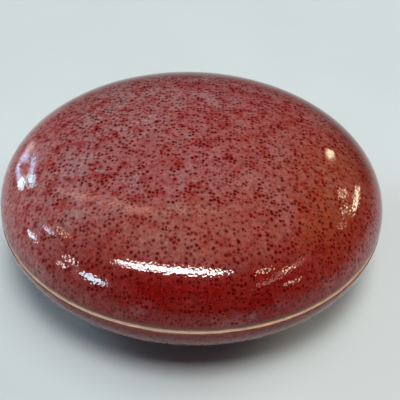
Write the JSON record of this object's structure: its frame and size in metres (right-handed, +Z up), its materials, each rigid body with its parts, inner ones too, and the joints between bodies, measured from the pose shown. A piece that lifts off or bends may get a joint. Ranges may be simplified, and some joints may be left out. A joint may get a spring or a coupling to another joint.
{
  "type": "seal paste box",
  "caption": "Low round lidded box of glazed porcelain with a domed lid on a bowl-shaped base, holding a pat of seal paste to ink a name seal.",
  "frame": {"origin": "middle of the foot ring, on the surface that the box stands on", "axes": "+Z up through the middle of the lid's crown; the box is round, so +X and +Y are free, and the picture looks along +Y"},
  "size_m": [0.075, 0.075, 0.0313],
  "materials": {
    "bare_clay_lid": "matte",
    "red_glaze_lid": "gloss",
    "pale_glaze_lid": "gloss",
    "bare_clay_base": "matte",
    "red_glaze_base": "gloss",
    "pale_glaze_well": "gloss",
    "pale_glaze_foot": "gloss",
    "vermilion_paste": "satin"
  },
  "bodies": {
    "base": {"base_body": "bare_clay_base", "base_glaze": "red_glaze_base", "base_lining": "pale_glaze_well", "foot_glaze": "pale_glaze_foot", "seal_paste": "vermilion_paste"},
    "lid": {"lid_body": "bare_clay_lid", "lid_glaze": "red_glaze_lid", "lid_lining": "pale_glaze_lid"}
  },
  "joints": [
    {"name": "lid_lift", "type": "slide", "parent": "base", "child": "lid", "axis": [0, 0, 1], "range_m": [0, 0.06]}
  ]
}
